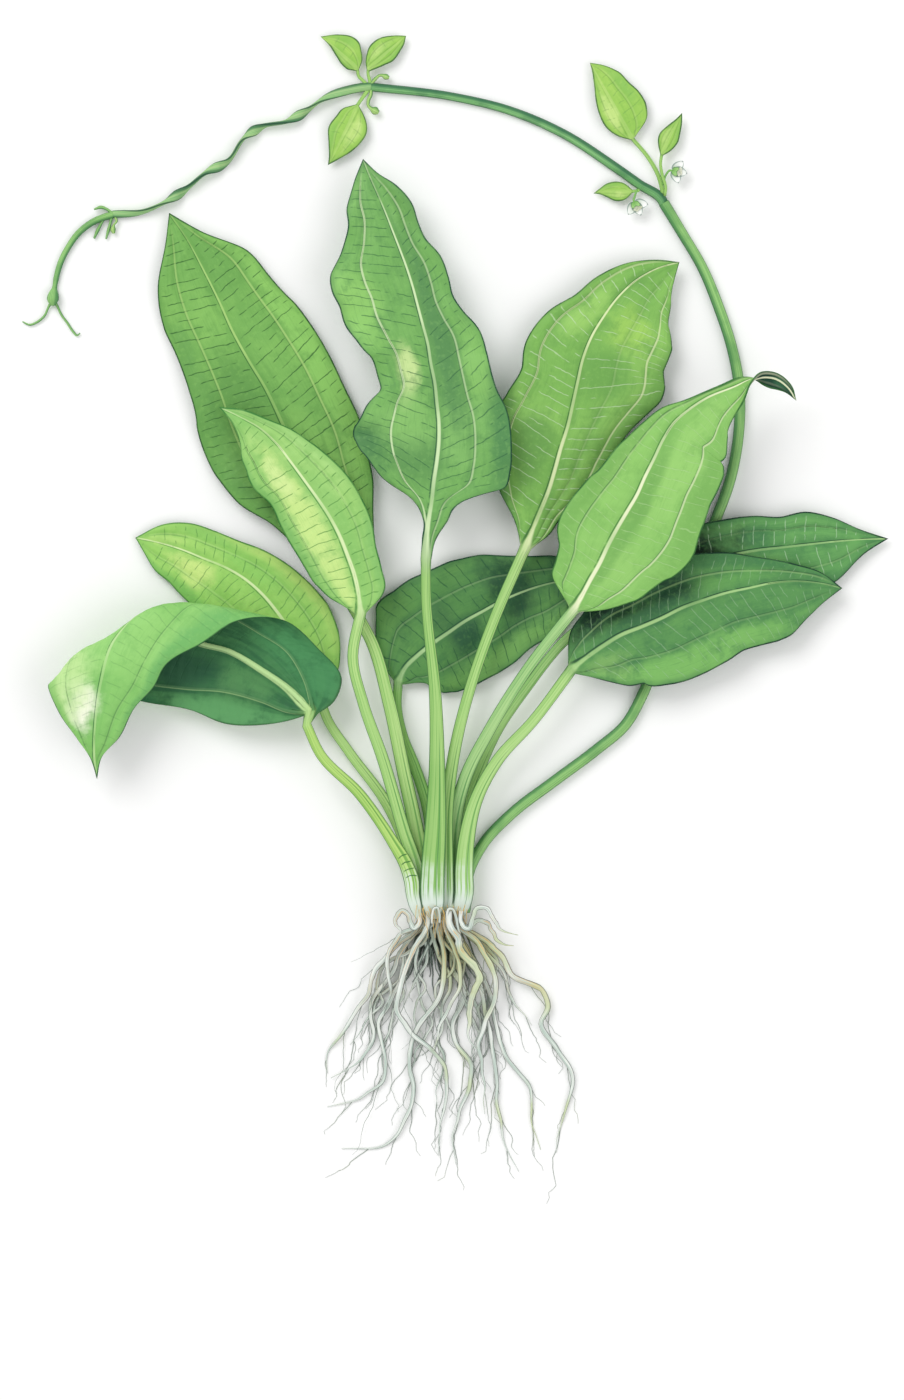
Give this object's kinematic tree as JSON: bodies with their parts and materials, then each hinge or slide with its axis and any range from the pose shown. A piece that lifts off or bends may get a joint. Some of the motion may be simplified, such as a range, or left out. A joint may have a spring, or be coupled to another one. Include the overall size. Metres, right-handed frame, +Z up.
{
  "type": "amazon sword plant",
  "caption": "Bare-rooted rosette water plant laid flat: broad long-stalked leaves, an arching flower stalk with plantlets and a beard of roots.",
  "frame": {"origin": "on the resting surface, under the middle of the crown where leaves and roots meet", "axes": "+Y from the crown towards the leaf tips, +Z up from the surface that the plant lies on, +X to the right seen from above"},
  "size_m": [0.4349, 0.5712, 0.0403],
  "materials": {
    "crown": "satin",
    "leaf_mid": "satin",
    "leaf_light": "satin",
    "leaf_dark": "satin",
    "leaf_young": "satin",
    "scape": "satin",
    "flower": "matte",
    "root": "matte"
  },
  "bodies": {
    "root": {"crown": "crown", "leaf_a": "leaf_mid", "leaf_b": "leaf_light", "leaf_c": "leaf_mid", "leaf_d": "leaf_mid", "leaf_e": "leaf_light", "leaf_f": "leaf_dark", "leaf_g": "leaf_dark", "leaf_h": "leaf_dark", "leaf_i": "leaf_light", "leaf_j": "leaf_mid", "whorl1_leaf_large": "leaf_young", "whorl1_leaf_small": "leaf_young", "whorl1_leaf_left": "leaf_young", "whorl2_leaf_upper_left": "leaf_young", "whorl2_leaf_upper_right": "leaf_young", "whorl2_leaf_lower": "leaf_young", "scape_lower": "scape", "scape_middle": "scape", "scape_twisted": "scape", "scape_tip": "scape", "whorl3_bract_left": "scape", "whorl3_bract_outer": "scape", "whorl3_bract_inner": "scape", "end_bract_left": "scape", "end_bract_right": "scape", "whorl2_bud_right": "leaf_young", "whorl2_bud_lower": "leaf_young", "whorl3_bud": "leaf_young", "whorl1_flower_right": "flower", "whorl1_flower_left": "flower", "root_01": "root", "root_02": "root", "root_03": "root", "root_04": "root", "root_05": "root", "root_06": "root", "root_07": "root", "root_08": "root", "root_09": "root", "root_10": "root", "root_11": "root", "root_12": "root", "root_13": "root", "root_14": "root", "root_15": "root", "root_16": "root", "root_17": "root"}
  },
  "joints": []
}
